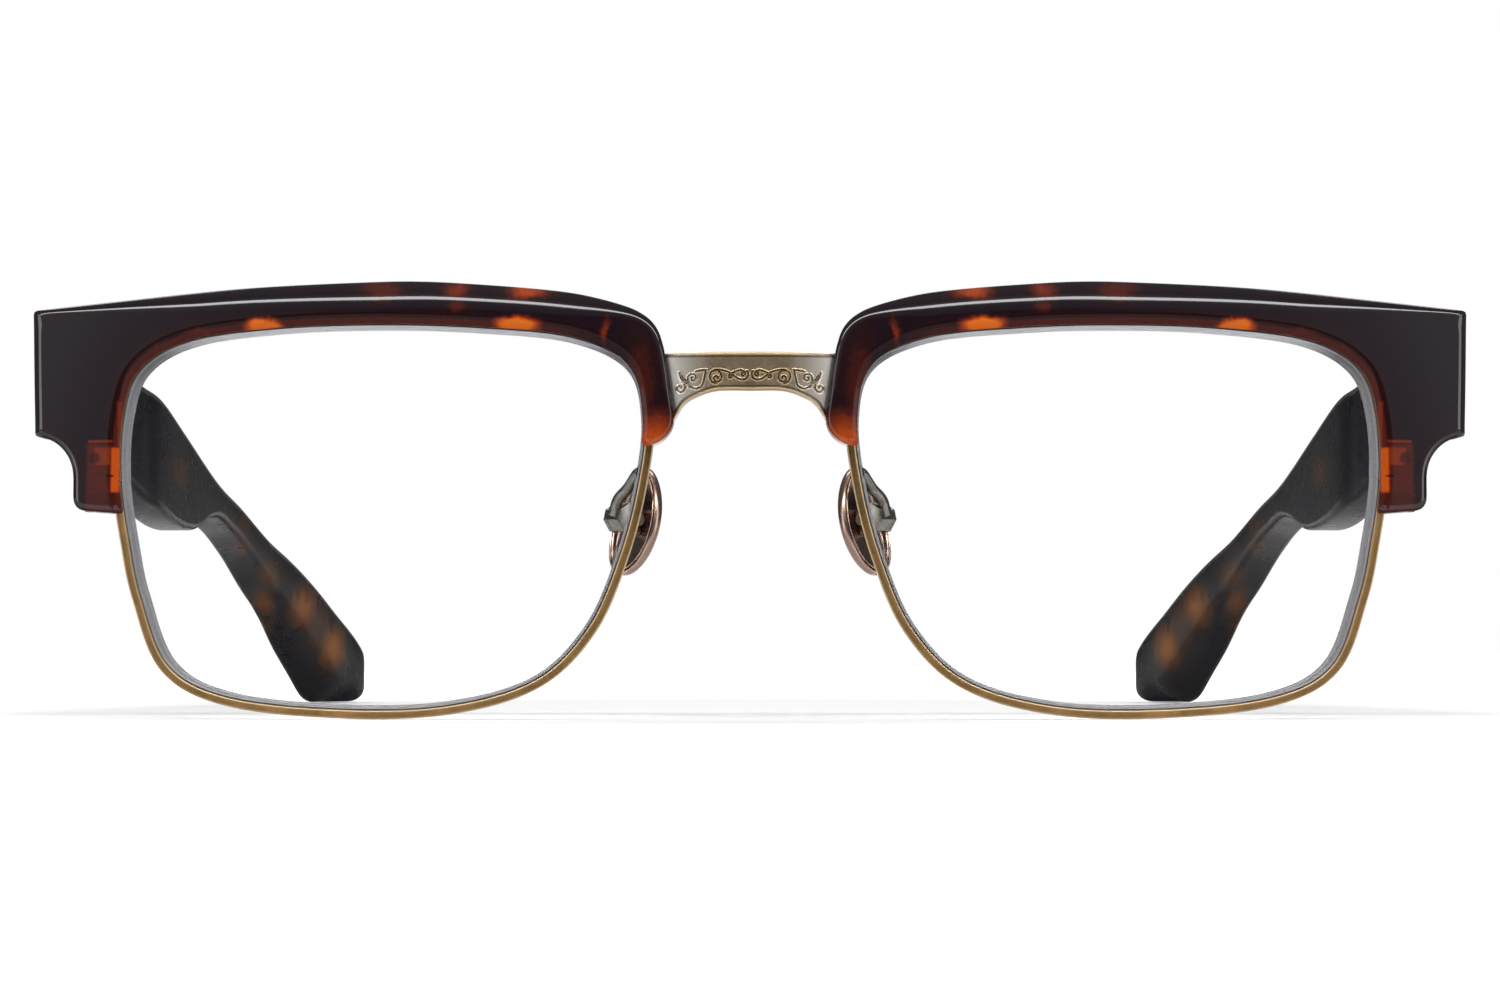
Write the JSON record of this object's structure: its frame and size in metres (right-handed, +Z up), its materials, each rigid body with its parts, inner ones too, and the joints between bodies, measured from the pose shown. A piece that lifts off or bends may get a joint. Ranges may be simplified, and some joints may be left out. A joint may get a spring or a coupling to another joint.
{
  "type": "browline eyeglasses",
  "caption": "Browline eyeglasses with tortoise brow bars over thin metal rims, an engraved plate bridge, metal nose pads and hinged acetate temples.",
  "frame": {"origin": "middle of the footprint, on the table that the rims and temple tips stand on", "axes": "-Y is the way the wearer looks, +Y runs back along the temples, +X is the wearer's left, +Z up"},
  "size_m": [0.1462, 0.1514, 0.0441],
  "materials": {
    "antique_gold": "brushed antique gold",
    "engraved_gold": "brushed antique gold with engraved scrolls and raised beads",
    "clear_lens": "clear, polished",
    "tortoise_acetate": "polished dark tortoise with red and amber spots",
    "temple_acetate": "polished dark tortoise",
    "bare_steel": "bright",
    "hinge_metal": "satin",
    "pad_arm_metal": "dark satin",
    "rose_metal": "polished rose bronze"
  },
  "bodies": {
    "front": {"bridge": "engraved_gold", "right_rim": "antique_gold", "right_lens": "clear_lens", "right_brow_bar": "tortoise_acetate", "right_brow_screws": "bare_steel", "right_end_lug": "antique_gold", "right_rim_lock": "antique_gold", "right_closing_screw": "bare_steel", "right_hinge_front": "hinge_metal", "right_hinge_screw": "bare_steel", "right_pad_arm": "pad_arm_metal", "right_pad_screw": "bare_steel", "left_rim": "antique_gold", "left_lens": "clear_lens", "left_brow_bar": "tortoise_acetate", "left_brow_screws": "bare_steel", "left_end_lug": "antique_gold", "left_rim_lock": "antique_gold", "left_closing_screw": "bare_steel", "left_hinge_front": "hinge_metal", "left_hinge_screw": "bare_steel", "left_pad_arm": "pad_arm_metal", "left_pad_screw": "bare_steel"},
    "right_temple_arm": {"right_temple": "temple_acetate", "right_hinge_temple": "hinge_metal", "right_core_wire": "bare_steel"},
    "right_pad": {"right_nose_pad": "rose_metal"},
    "left_temple_arm": {"left_temple": "temple_acetate", "left_hinge_temple": "hinge_metal", "left_core_wire": "bare_steel"},
    "left_pad": {"left_nose_pad": "rose_metal"}
  },
  "joints": [
    {"name": "right_temple_hinge", "type": "hinge", "parent": "front", "child": "right_temple_arm", "pos_m": [-0.0665, -0.06287, 0.03495], "axis": [0, 0, -1], "range_deg": [0, 76]},
    {"name": "left_temple_hinge", "type": "hinge", "parent": "front", "child": "left_temple_arm", "pos_m": [0.0665, -0.06287, 0.03495], "axis": [0, 0, 1], "range_deg": [0, 86]},
    {"name": "right_pad_rock", "type": "hinge", "parent": "front", "child": "right_pad", "pos_m": [-0.01226, -0.0674, 0.02011], "axis": [-0.5736, 0.8192, 0], "range_deg": [-8, 8]},
    {"name": "left_pad_rock", "type": "hinge", "parent": "front", "child": "left_pad", "pos_m": [0.01226, -0.0674, 0.02011], "axis": [0.5736, 0.8192, 0], "range_deg": [-8, 8]}
  ]
}
